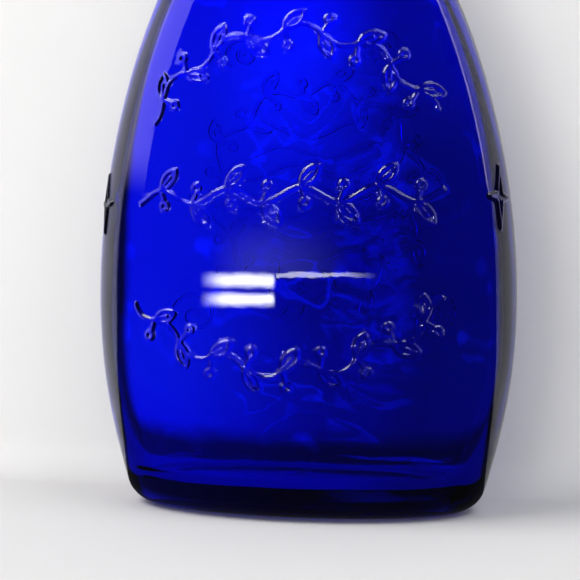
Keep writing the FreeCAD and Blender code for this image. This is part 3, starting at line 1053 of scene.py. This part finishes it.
def soft_light(
    name, turn, lift, distance, width, height, glow, colour=(1, 1, 1), fades=None, inside=1.0
):
    """A flat panel aimed at the bottle's middle. Its turn to the right of the camera and its
    lift are in degrees, and its glow is its own brightness, whatever its size. The fades are
    the shares of its width or height over which each edge dies away, and inside is how much of
    it is left for light that has been through glass."""
    angle, up = CAMERA_TURN + math.radians(turn), math.radians(lift)
    way = Vector((math.cos(up) * math.sin(angle), -math.cos(up) * math.cos(angle), math.sin(up)))
    lamp = bpy.data.lights.new(name, "AREA")
    lamp.shape = "RECTANGLE"
    lamp.size, lamp.size_y = width, height
    lamp.energy = glow * math.pi * width * height
    lamp.color = colour
    light = bpy.data.objects.new(name, lamp)
    bpy.context.collection.objects.link(light)
    light.location = Vector((0, 0, AIM_LEVEL)) + way * distance
    light.rotation_euler = way.to_track_quat("Z", "Y").to_euler()
    lamp.use_nodes = True
    join = lamp.node_tree.links.new
    strength = lamp.node_tree.nodes["Emission"].inputs["Strength"]
    path = add_node(lamp.node_tree, "ShaderNodeLightPath")
    brightness = add_node(lamp.node_tree, "ShaderNodeMapRange", interpolation_type="LINEAR")
    brightness.inputs["To Min"].default_value = 1.0
    brightness.inputs["To Max"].default_value = inside
    join(path.outputs["Transmission Depth"], brightness.inputs["Value"])
    factor = brightness.outputs["Result"]
    spot = add_node(lamp.node_tree, "ShaderNodeNewGeometry")
    parts = add_node(lamp.node_tree, "ShaderNodeSeparateXYZ")
    join(spot.outputs["Parametric"], parts.inputs[0])
    for edge, share in (fades or {}).items():
        ramp = add_node(lamp.node_tree, "ShaderNodeMapRange", interpolation_type="SMOOTHSTEP")
        near, far = (0.0, share) if edge in ("left", "bottom") else (1.0, 1.0 - share)
        ramp.inputs["From Min"].default_value = near
        ramp.inputs["From Max"].default_value = far
        join(parts.outputs["X" if edge in ("left", "right") else "Y"], ramp.inputs["Value"])
        both = add_node(lamp.node_tree, "ShaderNodeMath", operation="MULTIPLY")
        join(factor, both.inputs[0])
        join(ramp.outputs["Result"], both.inputs[1])
        factor = both.outputs[0]
    join(factor, strength)


# Each lamp's name, turn, lift, distance, width, height, glow and colour.
COOL, WARM, VIOLET = (0.93, 0.95, 1.0), (1.0, 0.985, 0.96), (1.0, 0.87, 1.0)
TUBES = {"left": 0.45, "right": 0.06, "top": 0.48, "bottom": 0.48}
soft_light("high_panel", -76, 54, 2.1, 1.20, 1.05, 8.5, WARM)
soft_light("fill_panel", 66, 60, 2.1, 1.30, 1.05, 4.8, COOL)
soft_light("upper_tube", -37.5, 1.85, 1.2, 0.54, 0.051, 30.0, fades=TUBES, inside=0.2)
soft_light("lower_tube", -37.5, -0.60, 1.2, 0.54, 0.051, 30.0, fades=TUBES, inside=0.2)
EDGE = {"right": 0.5, "top": 0.3, "bottom": 0.3}
soft_light("fitting_edge", -9.0, 2.6, 1.2, 0.68, 0.016, 10.0, fades=EDGE)
HAZE = {"left": 0.35, "right": 0.6, "top": 0.85, "bottom": 0.05}
soft_light("ceiling_glow", -24.0, 6.2, 1.25, 1.05, 0.15, 0.55, COOL, fades=HAZE)
soft_light("left_wall", -93.0, 31.0, 1.0, 0.45, 0.70, 1.4, VIOLET, fades={"bottom": 0.15})
soft_light("right_strip", 77.0, 34.0, 1.1, 0.05, 0.80, 3.0, VIOLET)

# The room round the stage: dim where the glass mirrors it, mild where it lights matt surfaces,
# and pale where it is looked at, straight or through the glass.
world = bpy.data.worlds.new("studio")
bpy.context.scene.world = world
world.use_nodes = True
join = world.node_tree.links.new
path = add_node(world.node_tree, "ShaderNodeLightPath")
looked_at = (0.80, 0.80, 0.79, 1)
MIRRORED_ROOM, LIGHTING_ROOM = (0.03, 0.03, 0.04, 1), (0.50, 0.50, 0.505, 1)
backdrop = None
for depth_name, room in (("Glossy Depth", MIRRORED_ROOM), ("Diffuse Depth", LIGHTING_ROOM)):
    after = add_node(world.node_tree, "ShaderNodeMath", operation="GREATER_THAN")
    after.inputs[1].default_value = 0.5
    chosen = add_node(world.node_tree, "ShaderNodeMix", data_type="RGBA")
    chosen.inputs["A"].default_value = looked_at
    chosen.inputs["B"].default_value = room
    join(path.outputs[depth_name], after.inputs[0])
    join(after.outputs[0], chosen.inputs["Factor"])
    if backdrop is not None:
        join(backdrop.outputs["Result"], chosen.inputs["A"])
    backdrop = chosen
join(backdrop.outputs["Result"], world.node_tree.nodes["Background"].inputs["Color"])

camera_data = bpy.data.cameras.new("camera")
camera_data.sensor_width = SENSOR_WIDTH
camera_data.lens = FOCAL_LENGTH
camera = bpy.data.objects.new("camera", camera_data)
bpy.context.collection.objects.link(camera)
camera.location = Vector((0, 0, AIM_LEVEL)) + camera_side * AIM_OFFSET + camera_way * VIEW_DISTANCE
camera.rotation_euler = camera_way.to_track_quat("Z", "Y").to_euler()
bpy.context.scene.camera = camera
bpy.context.scene.view_settings.view_transform = "Standard"
